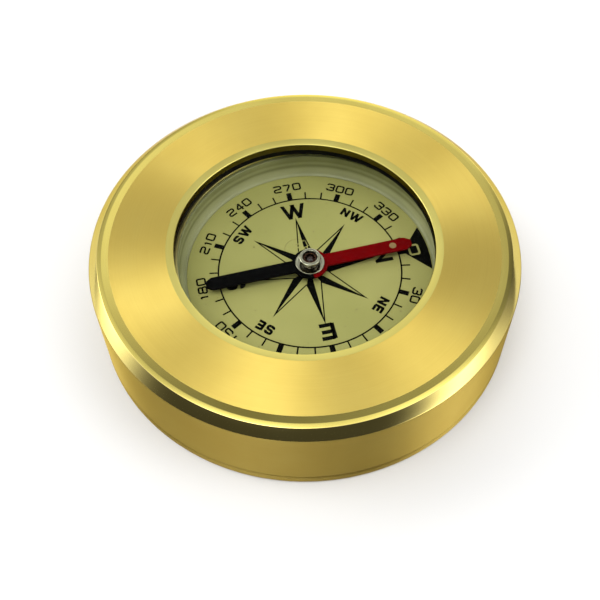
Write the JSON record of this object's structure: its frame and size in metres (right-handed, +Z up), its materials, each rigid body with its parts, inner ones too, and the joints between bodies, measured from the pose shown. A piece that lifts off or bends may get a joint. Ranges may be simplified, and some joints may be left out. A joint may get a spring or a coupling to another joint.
{
  "type": "card compass",
  "caption": "Round brass card compass: heavy turned ring with a bevelled rim, printed dial under a flat crystal, and a jewelled two-colour needle.",
  "frame": {"origin": "centre of the case's underside", "axes": "+Z up through the dial, +Y towards the dial's north mark, +X towards its east"},
  "size_m": [0.065, 0.065, 0.0146],
  "materials": {
    "case_brass": "circular-brushed top, polished bevels, satin wall",
    "trim_brass": "turned, unpolished",
    "nickel": "bright nickel plate",
    "steel": "hardened and ground",
    "dial_card": "matt luminous cream with black print",
    "cup_plastic": "moulded, smoky grey-green",
    "crystal": "clear and flat",
    "black_rubber": "moulded",
    "foam": "closed-cell foam",
    "needle_paint": "satin red on the north arm and black on the south arm",
    "luminous": "luminous paint",
    "jewel": "polished dark agate"
  },
  "bodies": {
    "case": {"case_ring": "case_brass", "base_cover": "case_brass", "base_seal": "black_rubber", "crystal_gasket": "black_rubber", "capsule_cushion": "foam", "capsule_cup": "cup_plastic", "dial_card": "dial_card", "crystal": "crystal", "crystal_snap_ring": "trim_brass", "pivot_bush": "trim_brass", "pivot_nut": "trim_brass", "pivot_pin": "steel"},
    "needle": {"needle_blade": "needle_paint", "luminous_dot": "luminous", "hub_flange": "nickel", "hub_cap": "nickel", "hub_swage_washer": "nickel", "jewel": "jewel", "jewel_ring": "trim_brass"}
  },
  "joints": [
    {"name": "needle_turn", "type": "hinge", "parent": "case", "child": "needle", "pos_m": [0.00018, 0.0008, 0.0095], "axis": [0, 0, 1], "continuous": true}
  ]
}
